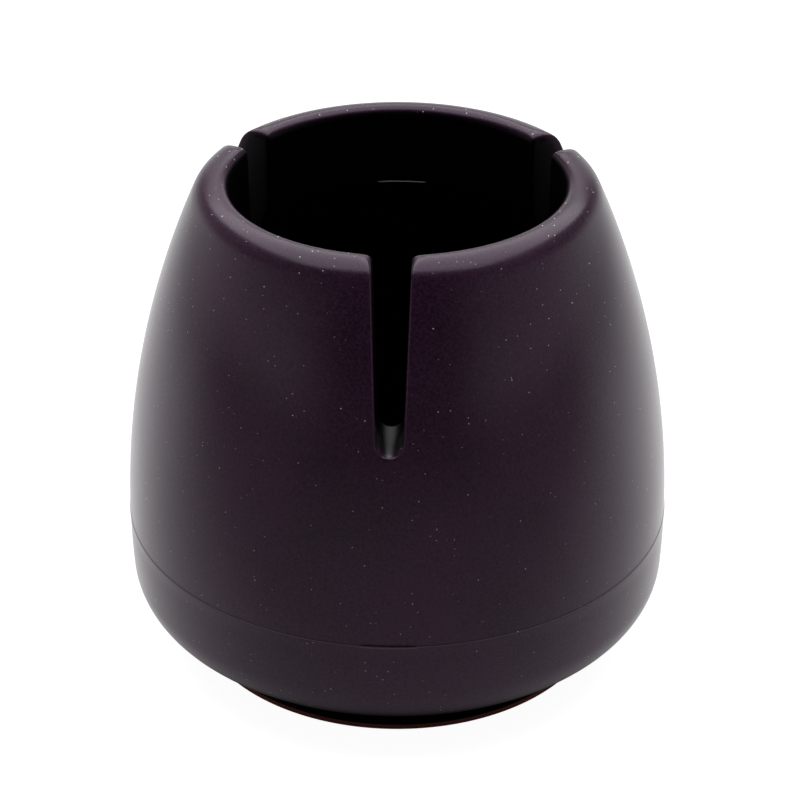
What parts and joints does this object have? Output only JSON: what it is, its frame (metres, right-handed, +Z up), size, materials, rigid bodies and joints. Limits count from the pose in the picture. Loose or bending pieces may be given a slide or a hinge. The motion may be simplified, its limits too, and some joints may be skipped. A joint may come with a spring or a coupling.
{
  "type": "leg slip cap",
  "caption": "Soft bell-shaped slip-on cap for a round furniture leg, with a slotted gripping mouth and a thin hard sliding disc under its foot.",
  "frame": {"origin": "centre of the slip disc's lower face, on the floor", "axes": "+Z up the leg along the cap's axis; one of the slots faces -Y"},
  "size_m": [0.038, 0.0381, 0.0347],
  "materials": {
    "moulded_rubber": "matt moulded",
    "slip_plastic": "satin"
  },
  "bodies": {
    "root": {"cap_body": "moulded_rubber", "slip_disc": "slip_plastic"}
  },
  "joints": []
}
